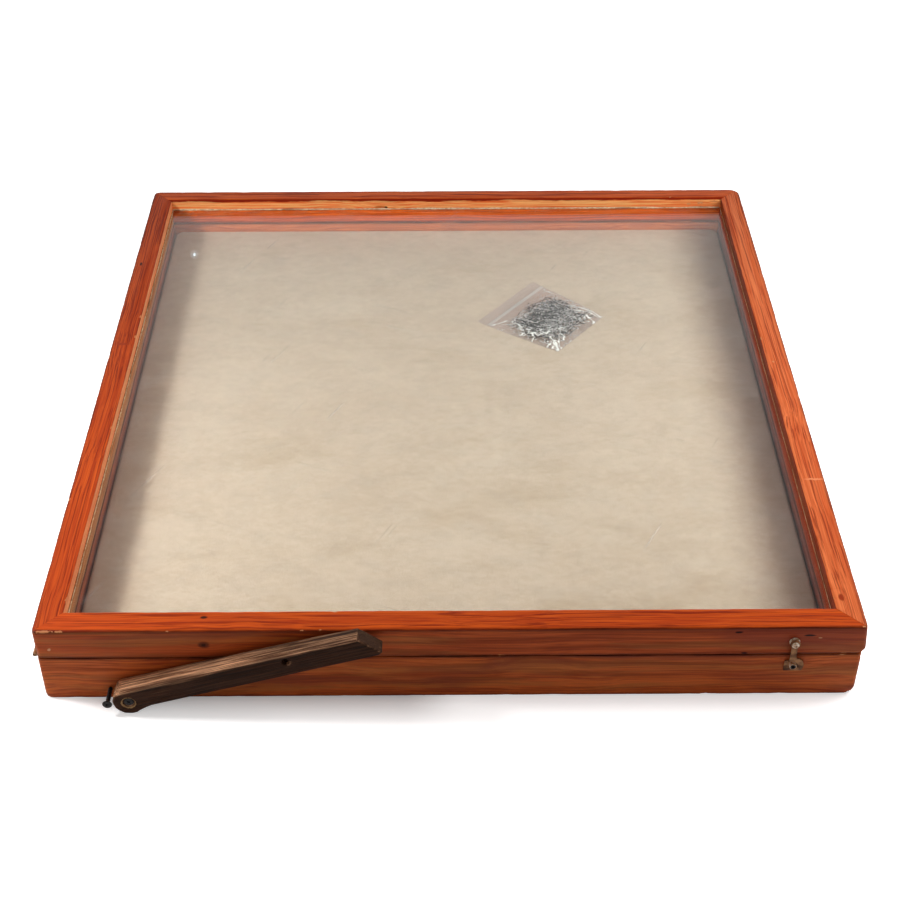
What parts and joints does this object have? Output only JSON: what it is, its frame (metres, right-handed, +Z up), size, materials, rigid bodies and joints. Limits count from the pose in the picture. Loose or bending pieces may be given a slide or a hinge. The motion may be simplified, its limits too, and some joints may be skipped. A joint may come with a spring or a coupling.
{
  "type": "insect collection drawer",
  "caption": "Shallow glazed wooden case for pinned insects, with a side-hinged glass lid, hook latch, swivelling prop leg, felt-covered pinning board and a bag of pins.",
  "frame": {"origin": "centre of the case's footprint, on the underside of the tray", "axes": "+Z up, +X to the right along the front, +Y from the front to the back; the hook and the leg are on the front, which faces -Y"},
  "size_m": [0.6541, 0.7042, 0.0823],
  "materials": {
    "lid_wood": "orange-red stained softwood, worn satin",
    "tray_wood": "dark red-brown stained softwood, worn satin",
    "leg_wood": "dark, dry and weathered",
    "plywood": "raw plywood",
    "soft_board": "soft fibreboard, matt",
    "felt": "napped beige felt",
    "pane": "clear, lightly scratched",
    "putty": "old chipped putty",
    "brass": "aged and dull",
    "black_steel": "black phosphate",
    "bag_film": "thin clear film",
    "pin_steel": "bright steel pins"
  },
  "bodies": {
    "tray": {"tray_front": "tray_wood", "tray_right": "tray_wood", "tray_back": "tray_wood", "tray_left": "tray_wood", "bottom_panel": "plywood", "pinning_board": "soft_board", "felt_lining": "felt", "catch_plate": "brass", "catch_stud": "brass", "hinge_leaf_tray": "brass", "hinge_pin": "brass", "leg_screw": "black_steel", "stop_screw": "black_steel", "pin_bag": "bag_film", "pin_heap": "pin_steel"},
    "lid": {"lid_front": "lid_wood", "lid_right": "lid_wood", "lid_back": "lid_wood", "lid_left": "lid_wood", "glass_pane": "pane", "putty_front": "putty", "putty_right": "putty", "putty_back": "putty", "putty_left": "putty", "hinge_leaf_lid": "brass", "hook_screw": "brass"},
    "hook": {"hook": "brass"},
    "leg": {"leg": "leg_wood"}
  },
  "joints": [
    {"name": "lid_hinge", "type": "hinge", "parent": "tray", "child": "lid", "pos_m": [-0.3272, 0, 0.0455], "axis": [0, -1, 0], "range_deg": [0, 180]},
    {"name": "hook_swing", "type": "hinge", "parent": "lid", "child": "hook", "pos_m": [0.2694, -0.3465, 0.0602], "axis": [0, -1, 0], "range_deg": [0, 120]},
    {"name": "leg_swing", "type": "hinge", "parent": "tray", "child": "leg", "pos_m": [-0.2543, -0.352, 0.013], "axis": [0, -1, 0], "range_deg": [-136, 88]}
  ]
}
